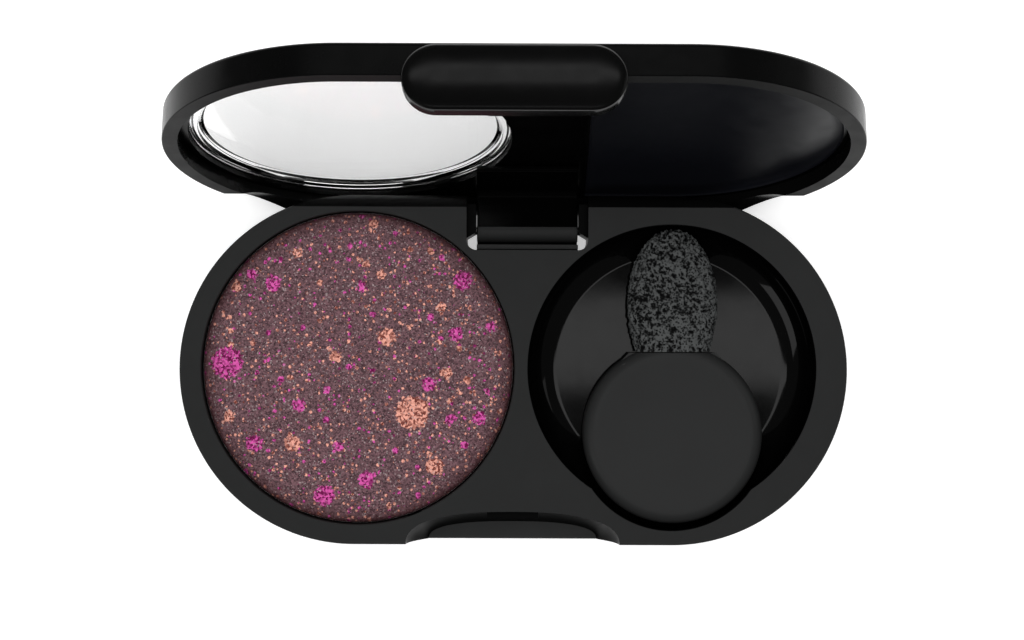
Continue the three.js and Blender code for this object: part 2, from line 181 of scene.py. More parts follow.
def tidy(piece):
    """Merges doubled points and turns every face outwards."""
    shape = bmesh.new()
    shape.from_mesh(piece.data)
    bmesh.ops.remove_doubles(shape, verts=shape.verts, dist=1e-7)
    bmesh.ops.recalc_face_normals(shape, faces=shape.faces)
    shape.to_mesh(piece.data)
    shape.free()


def stack(name, rings, turn=None):
    """A closed skin over rings of points that all have the same count."""
    count = len(rings[0])
    points = [p for ring in rings for p in ring]
    faces = []
    for level in range(len(rings) - 1):
        first = level * count
        for i in range(count):
            j = (i + 1) % count
            faces.append((first + i, first + j, first + count + j, first + count + i))
    faces.append(tuple(reversed(range(count))))
    last = (len(rings) - 1) * count
    faces.append(tuple(range(last, last + count)))
    return make(name, points, faces, turn)


def stadium(radius, z, steps=96):
    """The outline of the compact at one height."""
    ring = []
    for side in (1, -1):
        for i in range(steps + 1):
            angle = math.pi * i / steps - math.pi / 2
            if side < 0:
                angle += math.pi
            ring.append((side * HALF_SPAN + radius * math.cos(angle), radius * math.sin(angle), z))
    return ring


def circle(x, y, radius, z, steps=192):
    ring = []
    for i in range(steps):
        angle = 2 * math.pi * i / steps
        ring.append((x + radius * math.cos(angle), y + radius * math.sin(angle), z))
    return ring


def capsule(name, profile, turn=None):
    """A solid with the compact's outline, from [radius, height] pairs."""
    return stack(name, [stadium(radius, z) for radius, z in profile], turn)


def turned(name, x, y, profile, turn=None, steps=192):
    """A round solid from [radius, height] pairs."""
    return stack(name, [circle(x, y, radius, z, steps) for radius, z in profile], turn)


def arc(centre_radius, centre_z, size, start, end, steps=10):
    """[radius, height] pairs along an arc, with its angles in degrees from the horizontal."""
    pairs = []
    for i in range(steps + 1):
        angle = math.radians(start + (end - start) * i / steps)
        pairs.append((centre_radius + size * math.cos(angle), centre_z + size * math.sin(angle)))
    return pairs


def prism_z(name, outline, bottom, top, turn=None):
    return stack(name, [[(x, y, z) for x, y in outline] for z in (bottom, top)], turn)


def prism_x(name, outline, left, right, turn=None):
    """A solid along X from an outline of (y, z) pairs."""
    return stack(name, [[(x, y, z) for y, z in outline] for x in (left, right)], turn)


def block(name, low, high, turn=None):
    outline = [(low[0], low[1]), (high[0], low[1]), (high[0], high[1]), (low[0], high[1])]
    return prism_z(name, outline, low[2], high[2], turn)


def join(piece, tool, operation):
    """Cuts a piece with a tool, or adds or intersects the tool, and removes the tool."""
    change = piece.modifiers.new("join", "BOOLEAN")
    change.object = tool
    change.operation = operation
    change.solver = "EXACT"
    bpy.context.view_layer.objects.active = piece
    bpy.ops.object.modifier_apply(modifier=change.name)
    bpy.data.objects.remove(tool)


def cut(piece, tool):
    join(piece, tool, "DIFFERENCE")


def add(piece, tool):
    join(piece, tool, "UNION")


def keep(piece, tool):
    join(piece, tool, "INTERSECT")


def smooth(piece, angle=32):
    """Smooth faces with sharp edges above the angle, and flat faces that stay flat."""
    mesh = piece.data
    mesh.polygons.foreach_set("use_smooth", [True] * len(mesh.polygons))
    mesh.set_sharp_from_angle(angle=math.radians(angle))
    weighted = piece.modifiers.new("weighted", "WEIGHTED_NORMAL")
    weighted.keep_sharp = True


def settle(piece, body, nodes):
    """Smooths a finished piece, rides it on its body and hides the frame nodes it stands for."""
    smooth(piece)
    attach(piece, body)
    if nodes:
        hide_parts(*nodes)
    return piece


# Materials.
def shader(name, **values):
    """A material, its node tree and its main shader with values set on the shader's own sockets."""
    material = bpy.data.materials.new(name)
    material.use_nodes = True
    tree = material.node_tree
    main = tree.nodes["Principled BSDF"]
    for socket, value in values.items():
        main.inputs[socket.replace("_", " ")].default_value = value
    return material, tree, main


def node(tree, kind, inputs=(), **settings):
    made = tree.nodes.new(kind)
    for setting, value in settings.items():
        setattr(made, setting, value)
    for socket, value in dict(inputs).items():
        if isinstance(value, bpy.types.NodeSocket):
            tree.links.new(value, made.inputs[socket])
        else:
            made.inputs[socket].default_value = value
    return made


def place(tree, per_mm=1.0):
    """Object coordinates counted in millimetres, times per_mm."""
    source = node(tree, "ShaderNodeTexCoord").outputs["Object"]
    scale = per_mm / MM
    return node(tree, "ShaderNodeMapping", {"Vector": source, "Scale": (scale, scale, scale)}).outputs[0]


def blend(tree, share, low, high):
    """A colour or value mixed from low to high."""
    mixed = node(tree, "ShaderNodeMix", data_type="RGBA")
    tree.links.new(share, mixed.inputs["Factor"])
    for index, value in ((6, low), (7, high)):
        if isinstance(value, bpy.types.NodeSocket):
            tree.links.new(value, mixed.inputs[index])
        else:
            mixed.inputs[index].default_value = (*value, 1)
    return mixed.outputs[2]


def remap(tree, value, low, high, to_low, to_high, kind="SMOOTHSTEP"):
    inputs = {"Value": value, 1: low, 2: high, 3: to_low, 4: to_high}
    return node(tree, "ShaderNodeMapRange", inputs, interpolation_type=kind).outputs[0]


def noise_at(tree, per_mm, detail=2.0, roughness=0.5):
    inputs = {"Vector": place(tree), "Scale": per_mm, "Detail": detail, "Roughness": roughness}
    return node(tree, "ShaderNodeTexNoise", inputs).outputs[0]


def bump(tree, main, height, strength, distance_mm):
    inputs = {"Strength": strength, "Distance": distance_mm * MM, "Height": height}
    tree.links.new(node(tree, "ShaderNodeBump", inputs).outputs[0], main.inputs["Normal"])


def plastic(name, dark, light, rough_low, rough_high, grain, level=0.5, tint=(1, 1.02, 1.02)):
    """Moulded black plastic: cloudy tone, uneven gloss and a fine spark-eroded grain."""
    material, tree, main = shader(name, Specular_IOR_Level=level)
    cloud = noise_at(tree, 0.12, 3)
    colours = [tuple(tone * share for share in tint) for tone in (dark, light)]
    tree.links.new(blend(tree, cloud, *colours), main.inputs["Base Color"])
    rough = remap(tree, noise_at(tree, 0.5, 4), 0.3, 0.7, rough_low, rough_high)
    tree.links.new(rough, main.inputs["Roughness"])
    bump(tree, main, noise_at(tree, 9.0, 3), grain, 0.02)
    return material


satin = plastic("satin_black", 0.016, 0.018, 0.42, 0.50, 0.25, 0.3)
gloss = plastic("polished_black", 0.0008, 0.0012, 0.05, 0.07, 0.01)
# A darker, almost unreflecting copy of the base plastic: painted shade on the walls of scoop, notch and
# rear.
shaded_wall_black = plastic("shaded_wall_black", 0.002, 0.003, 0.30, 0.36, 0.05, 0.01)
lid_gloss = plastic("lid_black", 0.002, 0.003, 0.22, 0.28, 0.05, 0.08)
rim_satin = plastic("rim_black", 0.009, 0.012, 0.45, 0.52, 0.2, 0.10)
liner_gloss = plastic("liner_black", 0.0006, 0.0009, 0.18, 0.24, 0.02, 0.07)
# A lighter, bluish copy of the liner's black for the lid's dish: painted reflection.
dish_painted_reflection = plastic("dish_painted_reflection_black", 0.0050, 0.0056, 0.28, 0.34, 0.02, 0.25, (1, 1.08, 1.5))
tab_black = plastic("tab_black", 0.0015, 0.002, 0.18, 0.22, 0.03, 0.36)
handle_satin = plastic("handle_black", 0.018, 0.021, 0.34, 0.42, 0.18, 0.35)
cover_satin = plastic("cover_black", 0.021, 0.024, 0.45, 0.55, 0.3, 0.3)


def clear_plastic():
    optics = dict(IOR=1.49, Specular_IOR_Level=0.2, Transmission_Weight=1.0)
    material, tree, main = shader("clear_window", Base_Color=(1, 1, 1, 1), **optics)
    tree.links.new(remap(tree, noise_at(tree, 0.4, 2), 0.3, 0.7, 0.0, 0.02), main.inputs["Roughness"])
    bump(tree, main, noise_at(tree, 0.15, 1), 0.02, 0.05)
    return material


def metal(name, colour, roughness):
    material, tree, main = shader(name, Metallic=1.0)
    tone = noise_at(tree, 1.5, 4)
    tree.links.new(blend(tree, tone, [c * 0.85 for c in colour], colour), main.inputs["Base Color"])
    tree.links.new(remap(tree, tone, 0.3, 0.7, roughness, roughness + 0.12), main.inputs["Roughness"])
    bump(tree, main, noise_at(tree, 12, 2), 0.1, 0.01)
    return material


def matt(name, colour, grain_per_mm):
    material, tree, main = shader(name, Roughness=0.85)
    fibre = noise_at(tree, grain_per_mm, 5, 0.7)
    tree.links.new(blend(tree, fibre, [c * 0.75 for c in colour], colour), main.inputs["Base Color"])
    bump(tree, main, fibre, 0.3, 0.03)
    return material


def specks(tree, cell_mm, chosen, seed, size):
    """A mask of ragged grains: one cell in 1/chosen holds a grain of up to size cells."""
    start = (seed, seed * 1.7, seed * 0.6)
    offset = node(tree, "ShaderNodeVectorMath", {0: place(tree, 1 / cell_mm), 1: start})
    warp = node(tree, "ShaderNodeTexNoise", {"Vector": offset.outputs[0], "Scale": 3.0, "Detail": 2.0})
    about = {0: warp.outputs["Color"], 1: (0.5, 0.5, 0.5)}
    shifted = node(tree, "ShaderNodeVectorMath", about, operation="SUBTRACT")
    small = node(tree, "ShaderNodeVectorMath", {0: shifted.outputs[0], "Scale": 0.45}, operation="SCALE")
    moved = node(tree, "ShaderNodeVectorMath", {0: offset.outputs[0], 1: small.outputs[0]})
    cells = node(tree, "ShaderNodeTexVoronoi", {"Vector": moved.outputs[0], "Scale": 1.0})
    parts = node(tree, "ShaderNodeSeparateColor", {"Color": cells.outputs["Color"]})
    radius = remap(tree, parts.outputs[0], 1 - chosen, 1.0, 0.0, size, "LINEAR")
    inside = node(tree, "ShaderNodeMath", {0: radius, 1: cells.outputs["Distance"]}, operation="SUBTRACT")
    return remap(tree, inside.outputs[0], 0.0, 0.06, 0.0, 1.0)


def powder_material():
    """Baked powder: a taupe ground of fine grains, magenta and copper flecks, glints of mica, and painted
    shade darkening the rim.
    """
    material, tree, main = shader("baked_powder", Specular_IOR_Level=0.3)
    grain = node(tree, "ShaderNodeTexVoronoi", {"Vector": place(tree), "Scale": 7.5})
    tone = node(tree, "ShaderNodeSeparateColor", {"Color": grain.outputs["Color"]})
    ground = blend(tree, tone.outputs[0], (0.042, 0.023, 0.027), (0.20, 0.105, 0.12))
    edge = node(tree, "ShaderNodeAttribute", attribute_name="edge").outputs["Fac"]
    flake = node(tree, "ShaderNodeTexVoronoi", {"Vector": place(tree), "Scale": 5.2})
    flake_tone = node(tree, "ShaderNodeSeparateColor", {"Color": flake.outputs["Color"]})
    sparkle = remap(tree, flake_tone.outputs[1], 0.15, 0.9, 0.0, 1.0)
    copper = blend(tree, sparkle, (0.17, 0.042, 0.032), (0.88, 0.40, 0.31))
    magenta = blend(tree, sparkle, (0.13, 0.005, 0.055), (0.70, 0.10, 0.40))
    ragged = remap(tree, noise_at(tree, 3.2, 4, 0.6), 0.2, 0.8, -0.42, 0.36, "LINEAR")
    colour = ground
    for seed, cell, chosen, size, tint in (
        (3.1, 0.42, 0.75, 0.46, copper),
        (7.7, 0.50, 0.42, 0.42, magenta),
        (1.3, 1.00, 0.36, 0.38, copper),
        (5.2, 1.15, 0.28, 0.38, magenta),
    ):
        colour = blend(tree, specks(tree, cell, chosen, seed, size), colour, tint)
    for name, tint in (("copper", copper), ("magenta", magenta)):
        inside = node(tree, "ShaderNodeAttribute", attribute_name=name).outputs["Fac"]
        rough = node(tree, "ShaderNodeMath", {0: inside, 1: ragged}, operation="ADD")
        colour = blend(tree, remap(tree, rough.outputs[0], -0.05, 0.08, 0.0, 1.0), colour, tint)
    glint = remap(tree, tone.outputs[2], 0.90, 1.0, 0.0, 0.5)
    colour = blend(tree, glint, colour, (0.75, 0.62, 0.62))
    # Painted shade: the edge value darkens the cake towards its rim.
    colour = blend(tree, edge, colour, (0.024, 0.006, 0.006))
    tree.links.new(colour, main.inputs["Base Color"])
    tree.links.new(remap(tree, tone.outputs[1], 0.0, 1.0, 0.35, 0.8), main.inputs["Roughness"])
    tree.links.new(remap(tree, tone.outputs[2], 0.75, 0.95, 0.0, 0.35), main.inputs["Metallic"])
    bump(tree, main, grain.outputs["Distance"], 0.6, 0.05)
    return material


def sponge_material():
    """Black foam: painted shade in the clefts and pores, painted light on the ridges, a slight sheen, and
    a fine porous grain.
    """
    material, tree, main = shader("black_foam", Specular_IOR_Level=0.5)
    # The ridge share paints light on the lumps and shade in the clefts and pore centres.
    painted_ridge_light = node(tree, "ShaderNodeAttribute", attribute_name="painted_ridge_light").outputs["Fac"]
    pore_shade = node(tree, "ShaderNodeTexVoronoi", {"Vector": place(tree), "Scale": 4.5}).outputs["Distance"]
    painted_light_share = node(tree, "ShaderNodeMath", {0: painted_ridge_light, 1: pore_shade}, operation="MULTIPLY").outputs[0]
    share = remap(tree, painted_light_share, 0.10, 0.50, 0.0, 1.0)
    foam = blend(tree, share, (0.0015, 0.0015, 0.0016), (0.068, 0.071, 0.071))
    tree.links.new(foam, main.inputs["Base Color"])
    tree.links.new(remap(tree, share, 0.0, 1.0, 0.85, 0.38), main.inputs["Roughness"])
    bump(tree, main, noise_at(tree, 4.0, 4, 0.6), 0.9, 0.14)
    return material


def pale_floor():
    """A white light table: it glows softly, so the shadow under the compact stays pale."""
    material, tree, main = shader("pale_floor", Roughness=0.9, Specular_IOR_Level=0.0)
    white = blend(tree, noise_at(tree, 0.01, 2), (0.86,) * 3, (0.88,) * 3)
    tree.links.new(white, main.inputs["Base Color"])
    main.inputs["Emission Color"].default_value = (1, 1, 1, 1)
    main.inputs["Emission Strength"].default_value = 0.5
    return material


# Base body.
def bowl(name, x, y, radius, floor, foot, flare):
    """A cutter for a round well: flat floor, filleted foot, straight wall and an eased mouth."""
    profile = [(0.2, floor)]
    profile += arc(radius - foot, floor + foot, foot, -90, 0, 14)
    profile += arc(radius + flare, DECK - flare, flare, 180, 90, 5)
    profile += [(radius + flare, DECK + 3)]
    return turned(name, x, y, profile)


def scoop_tool():
    """The finger scoop: widest at the deck, hollow below."""
    rings = []
    levels = 16
    steps = 64
    for level in range(levels + 1):
        climb = level / levels
        curve = math.sin(climb * math.pi / 2)
        wide = SCOOP_HALF_WIDTH * (SCOOP_FOOT_WIDTH + (1 - SCOOP_FOOT_WIDTH) * curve)
        deep = SCOOP_DEPTH * (SCOOP_FOOT_DEPTH + (1 - SCOOP_FOOT_DEPTH) * curve)
        z = COVER_TOP - 0.3 + (DECK - COVER_TOP + 0.3) * climb
        ring = [(-wide, -END_RADIUS - 3, z), (wide, -END_RADIUS - 3, z)]
        for i in range(steps + 1):
            x = wide * math.cos(math.pi * i / steps)
            share = max(1 - abs(x / wide) ** SCOOP_CURVE, 0) ** (1 / SCOOP_CURVE)
            ring.append((x, deep * share - END_RADIUS, z))
        rings.append(ring)
    rings.append([(x, y, DECK + 2) for x, y, z in rings[-1]])
    return stack("scoop_tool", rings)


def rounded_corner(x, y, radius, start, steps=10):
    points = []
    for i in range(steps + 1):
        angle = math.radians(start + 90 * i / steps)
        points.append((x + radius * math.cos(angle), y + radius * math.sin(angle)))
    return points


def notch_outline():
    left = HINGE_X - NOTCH_WIDTH / 2
    right = HINGE_X + NOTCH_WIDTH / 2
    inner = NOTCH_CORNER
    outline = rounded_corner(left + inner, NOTCH_FRONT + inner, inner, 180)
    outline += rounded_corner(right - inner, NOTCH_FRONT + inner, inner, 270)
    return outline + [(right, END_RADIUS + 5), (left, END_RADIUS + 5)]


def rear_outline():
    """The (y, z) outline that the base keeps: the heel, and the barrel about the hinge axis."""
    offset = HEEL_Y - HINGE_Y
    limit = math.degrees(math.acos(offset / BARREL_RADIUS))
    outline = [(-LARGE, -5), (HEEL_Y, -5)]
    for pair in arc(HINGE_Y, HINGE_Z, BARREL_RADIUS, -limit, limit, 40):
        outline.append(pair)
    return outline + [(HEEL_Y, DECK + 5), (-LARGE, DECK + 5)]


def finish_at(x, y, z):
    """0 where the base is satin, 1 where it is polished, 2 where walls of scoop, notch and rear get
    painted shade.
    """
    in_well = math.hypot(x - WELL_X, y - PAN_Y) < WELL_RADIUS + EDGE
    in_pocket = math.hypot(x - WELL_X, y - POCKET_Y) < POCKET_RADIUS + EDGE
    half = ARM_WIDTH / 2
    if in_well or in_pocket:
        return 1
    if y > HINGE_Y + 2.3:
        return 2
    if abs(x) < SCOOP_HALF_WIDTH + 0.05 and -END_RADIUS + 0.02 < y < SCOOP_DEPTH - END_RADIUS + 0.05:
        return 2
    on_ledge = y < NOTCH_FRONT + 0.6 and z > DECK - 0.6 and abs(x - HINGE_X) < half
    if abs(x - HINGE_X) < NOTCH_WIDTH / 2 + 0.02 and y > NOTCH_FRONT - 0.02 and not on_ledge:
        return 2
    return 0


def base_body():
    top = arc(END_RADIUS - EDGE, DECK - EDGE, EDGE, 0, 90, 4)
    foot = [(END_RADIUS - COVER_EDGE, COVER_TOP), (END_RADIUS, COVER_TOP + COVER_EDGE)]
    piece = capsule("base_shell", foot + top)
    keep(piece, prism_x("rear_tool", rear_outline(), -LARGE, LARGE))
    mouth = arc(PAN_OPENING + EDGE, DECK - EDGE, EDGE, 180, 90, 5)
    profile = [(PAN_OPENING, PAN_FLOOR)] + mouth + [(PAN_OPENING + EDGE, DECK + 3)]
    cut(piece, turned("pan_tool", PAN_X, PAN_Y, profile))
    cut(piece, bowl("well_tool", WELL_X, PAN_Y, WELL_RADIUS, WELL_FLOOR, WELL_FILLET, EDGE))
    cut(piece, bowl("pocket_tool", WELL_X, POCKET_Y, POCKET_RADIUS, WELL_FLOOR, POCKET_FILLET, EDGE))
    cut(piece, scoop_tool())
    cut(piece, prism_z("notch_tool", notch_outline(), -1, DECK + 3))
    for side in (-1, 1):
        wall = HINGE_X + side * (NOTCH_WIDTH / 2 + FIT)
        tip = HINGE_X + side * (ARM_WIDTH / 2 + EAR_GAP)
        back = HINGE_Y + EAR_BACK
        plan = [(wall, HINGE_Y - 0.85), (tip, HINGE_Y - 0.25), (tip, back), (wall, back)]
        add(piece, prism_z("ear_tool", plan, COVER_TOP + 0.01, HINGE_Z + 2))
    arm = ARM_WIDTH / 2
    add(piece, block("ledge_tool", (HINGE_X - arm, NOTCH_FRONT - 0.1, COVER_TOP + 0.01),
                     (HINGE_X + arm, NOTCH_FRONT + 0.55, DECK - 0.5)))
    knuckle_front = HINGE_Y - KNUCKLE_RADIUS
    add(piece, block("shelf_tool", (HINGE_X - arm, NOTCH_FRONT - 0.1, COVER_TOP + 0.02),
                     (HINGE_X + arm, knuckle_front + 0.4, HINGE_Z - KNUCKLE_RADIUS - 0.35)))
    cut(piece, block("groove_tool", (HINGE_X - arm, NOTCH_FRONT, DECK - 1.2),
                     (HINGE_X + arm, NOTCH_FRONT + GROOVE_WIDTH, DECK + 1)))
    keeper = SCOOP_DEPTH - END_RADIUS
    low = (-KEEPER_HALF, keeper - 0.65, DECK - 1.4)
    high = (KEEPER_HALF, keeper + 0.4, DECK - 0.5)
    add(piece, block("keeper_tool", low, high))
    for material in (satin, gloss, shaded_wall_black):
        piece.data.materials.append(material)
    for face in piece.data.polygons:
        x, y, z = face.center / MM
        if z < DECK - 0.02:
            face.material_index = finish_at(x, y, z)
    return settle(piece, "base", ["base_body"])


def bottom_cover():
    edge = 0.35
    profile = arc(END_RADIUS - edge, edge, edge, -90, 0, 8)
    profile += [(END_RADIUS, COVER_TOP - COVER_EDGE), (END_RADIUS - COVER_EDGE, COVER_TOP)]
    piece = capsule("cover_plate", profile)
    cut(piece, block("heel_tool", (-LARGE, HEEL_Y, -5), (LARGE, LARGE, 5)))
    cut(piece, prism_z("notch_tool", notch_outline(), -1, DECK))
    label_low, label_high = mm_box("underside_label")
    recess = (label_high.x - label_low.x) / 2 + LABEL_GAP
    x = (label_low.x + label_high.x) / 2
    y = (label_low.y + label_high.y) / 2
    cut(piece, turned("label_tool", x, y, [(recess, -1), (recess, label_high.z)]))
    piece.data.materials.append(cover_satin)
    return settle(piece, "base", ["bottom_cover"])


# Powder.
MAGENTA_FLECKS = [
    (-13.1, 0.5, 1.6), (-8.5, 8.4, 0.85), (10.5, 8.7, 0.95), (9.8, 3.4, 0.75), (7.1, -1.6, 0.75),
    (13.3, 4.2, 0.55), (-5.9, -3.8, 0.65), (-10.3, -7.6, 0.85), (-3.3, -12.8, 1.05), (0.9, -11.2, 0.85),
    (12.2, -5.0, 0.75), (9.3, -5.1, 0.55), (-1.9, -7.9, 0.55), (0.4, 8.1, 0.5), (-10.6, 9.3, 0.55),
]
COPPER_FLECKS = [
    (5.5, -4.5, 1.7), (2.9, 3.1, 0.9), (-6.5, -7.6, 0.85), (7.7, -9.8, 0.9), (-2.2, 1.1, 0.6),
    (8.9, -0.5, 0.6), (11.0, -1.2, 0.45), (-12.9, -4.9, 0.6), (-6.1, 11.5, 0.55), (-12.2, 8.1, 0.6),
    (2.3, 9.3, 0.45), (0.8, 10.4, 0.4), (8.3, 6.1, 0.5), (1.5, 14.4, 0.5), (-10.5, 2.4, 0.35),
]


def inside_flecks(xy, flecks):
    """How far each point lies inside the nearest fleck, in millimetres."""
    best = np.full(len(xy), -5.0)
    for x, y, radius in flecks:
        best = np.maximum(best, radius - np.hypot(xy[:, 0] - x, xy[:, 1] - y))
    return best


def eyeshadow():
    """The baked cake: a low dome with a rounded edge, painted shade darkening towards that edge, and a
    grainy skin.
    """
    radius = PAN_OPENING - 0.05
    edge_top = DECK - 0.6
    dome = powder_high.z - edge_top - 0.03
    round_edge = 0.7
    rings = []
    count = 130
    for i in range(count, 0, -1):
        r = radius * i / count
        z = edge_top + dome * (1 - (r / radius) ** 4)
        over = max(r - (radius - round_edge), 0) / round_edge
        z -= round_edge * (1 - math.sqrt(max(1 - over * over, 0)))
        rings.append(circle(PAN_X, PAN_Y, r, z, 420))
    foot = [circle(PAN_X, PAN_Y, radius - 0.9, PAN_FLOOR + 0.6, 420)]
    piece = stack("powder_cake", foot + rings)
    points = np.array([v.co for v in piece.data.vertices]) / MM
    xy = points[:, :2] - (PAN_X, PAN_Y)
    span = np.hypot(xy[:, 0], xy[:, 1])
    for index, (x, y, z) in enumerate(points):
        if z < edge_top - round_edge:
            continue
        lift = 0.035 * noise.noise(Vector((x, y, 0)) * 2.2)
        lift += 0.03 * noise.noise(Vector((x, y, 7)) * 5.0)
        piece.data.vertices[index].co.z += lift * MM
    for name, values in (
        ("magenta", inside_flecks(xy, MAGENTA_FLECKS)),
        ("copper", inside_flecks(xy, COPPER_FLECKS)),
        # The edge value is painted shade that darkens the outer 2.4 mm of the cake.
        ("edge", np.clip((span - radius + 2.4) / 2.4, 0, 1) ** 1.7 * 0.88),
    ):
        layer = piece.data.attributes.new(name, "FLOAT", "POINT")
        layer.data.foreach_set("value", values.astype(np.float32))
    piece.data.materials.append(powder_material())
    smooth(piece, 60)
    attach(piece, "base")
    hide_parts("eyeshadow")
    return piece


def pan():
    """The thin metal godet under the powder, with a rolled edge."""
    low, high = mm_box("pan")
    radius = (high.x - low.x) / 2
    profile = arc(radius - 0.5, low.z + 0.5, 0.5, -90, 0, 6) + [(radius, high.z)]
    profile += [(radius - 0.3, high.z), (radius - 0.3, low.z + 0.6), (radius - 0.6, low.z + 0.35)]
    piece = turned("pan_godet", PAN_X, PAN_Y, profile)
    piece.data.materials.append(metal("pan_metal", (0.74, 0.74, 0.75), 0.3))
    return settle(piece, "base", ["pan"])


# Applicator.
def applicator_handle():
    """The finger disc with a shallow dish, a flat front for the sponge and two shoulders."""
    low, high = handle_low.z, handle_high.z
    edge = 1.3
    top = arc(HANDLE_RADIUS - edge, high - edge, edge, 0, 80, 12)
    rings = arc(HANDLE_RADIUS - edge, low + edge, edge, -90, 0, 10) + top
    dish = 0.35
    for share in (0.97, 0.9, 0.8, 0.65, 0.5, 0.35, 0.2, 0.08):
        r = (HANDLE_RADIUS - edge) * share
        rings.append((r, high - dish * (1 - share ** 2) - 0.02))
    piece = turned("finger_disc", HANDLE_X, HANDLE_Y, rings)
    front = sponge_low.y - 0.1
    cut(piece, block("front_tool", (HANDLE_X - 20, front, 0), (HANDLE_X + 20, 30, 30)))
    neck = 4.4
    flank = 6.1
    back = HANDLE_Y + math.sqrt(HANDLE_RADIUS ** 2 - flank ** 2)
    plan = [(HANDLE_X - flank, HANDLE_Y), (HANDLE_X + flank, HANDLE_Y), (HANDLE_X + flank, back - 0.3),
            (HANDLE_X + neck, front), (HANDLE_X - neck, front), (HANDLE_X - flank, back - 0.3)]
    add(piece, prism_z("shoulder_tool", plan, low + 0.5, high - 0.9))
    piece.data.materials.append(handle_satin)
    return settle(piece, "applicator", ["applicator_handle"])


def sponge_tip():
    """A foam tip: an oval pad that is widest near its middle, with a lumpy, porous skin."""
    start = sponge_low.y
    end = sponge_high.y + 0.15
    middle = start + 0.39 * (end - start)
    half_width = (sponge_high.x - sponge_low.x) / 2
    half_depth = (sponge_high.z - sponge_low.z) / 2
    centre_z = (sponge_high.z + sponge_low.z) / 2
    rings = []
    steps = 110
    around = 170
    for i in range(steps + 1):
        share = i / steps
        y = start + (end - start) * (math.sin(share * math.pi / 2) ** 1.15)
        if y > middle:
            size = math.sqrt(max(1 - ((y - middle) / (end - middle + 0.02)) ** 2, 0))
        else:
            size = 1 - 0.185 * ((middle - y) / (middle - start)) ** 2
        ring = []
        for k in range(around):
            angle = 2 * math.pi * k / around
            c, s = math.cos(angle), math.sin(angle)
            x = half_width * size * math.copysign(abs(c) ** 0.85, c)
            z = half_depth * size * math.copysign(abs(s) ** 0.85, s)
            ring.append((HANDLE_X + x, y, centre_z + z))
        rings.append(ring)
    piece = stack("foam_tip", rings)
    centre = Vector((HANDLE_X, (start + end) / 2, centre_z))
    painted_ridge_lights = []
    for vertex in piece.data.vertices:
        at = vertex.co / MM
        warp = at + Vector((noise.noise(at * 0.9), noise.noise(at * 0.9 + Vector((5, 0, 0))), 0)) * 0.5
        worm = max(1 - abs(noise.noise(warp * 1.7)) * 3.2, 0)
        fine = noise.noise(at * 3.8)
        # The ridge value paints light on the lumps and shade in the clefts that the displacement below
        # pushes in.
        painted_ridge_lights.append(min(max(0.75 * worm + 0.35 + 0.7 * fine, 0), 1))
        if at.y > start + 0.05:
            out = (at - centre).normalized()
            vertex.co += out * (0.26 * (worm - 1.0) + 0.12 * fine - 0.07) * MM
    layer = piece.data.attributes.new("painted_ridge_light", "FLOAT", "POINT")
    layer.data.foreach_set("value", painted_ridge_lights)
    piece.data.materials.append(sponge_material())
    smooth(piece, 80)
    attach(piece, "applicator")
    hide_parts("sponge_tip")
    return piece


# Lid, made shut and then turned to its open place.
def lid_shell():
    edge = 0.45
    lip = 0.12
    profile = arc(LID_RADIUS - lip, RIM + lip, lip, -90, 0, 4)
    profile += arc(LID_RADIUS - edge, LID_TOP - edge, edge, 0, 90, 8)
    piece = capsule("lid_cap", profile)
    inside = LID_RADIUS - SKIRT
    cut(piece, capsule("inside_tool", [(inside, RIM - 1), (inside, PLATE_UNDER)]))
    seat = LID_TOP - WINDOW_LIP
    recess = FLANGE_RADIUS + FIT
    cut(piece, turned("seat_tool", WINDOW_X, PAN_Y, [(recess, RIM), (recess, seat)]))
    hole = FRAME_RADIUS + FIT
    mouth = arc(hole + 0.2, LID_TOP - 0.2, 0.2, 180, 90, 5) + [(hole + 0.2, LID_TOP + 2)]
    cut(piece, turned("window_tool", WINDOW_X, PAN_Y, [(hole, RIM)] + mouth))
    around = BARREL_RADIUS + RELIEF_GAP
    relief = []
    for angle in np.linspace(0, 2 * math.pi, 120, endpoint=False):
        relief.append((HINGE_Y + around * math.cos(angle), HINGE_Z + around * math.sin(angle)))
    cut(piece, prism_x("relief_tool", relief, -LARGE, LARGE))
    piece.data.materials.append(lid_gloss)
    piece.data.materials.append(rim_satin)
    for face in piece.data.polygons:
        if face.center.z / MM < RIM + 0.02:
            face.material_index = 1
    piece.data.transform(in_metres(lid_turn))
    return settle(piece, "lid", ["lid_shell"])


def in_metres(turn):
    """A turn about points in millimetres, as one for meshes in metres."""
    return Matrix.Scale(MM, 4) @ turn @ Matrix.Scale(1 / MM, 4)


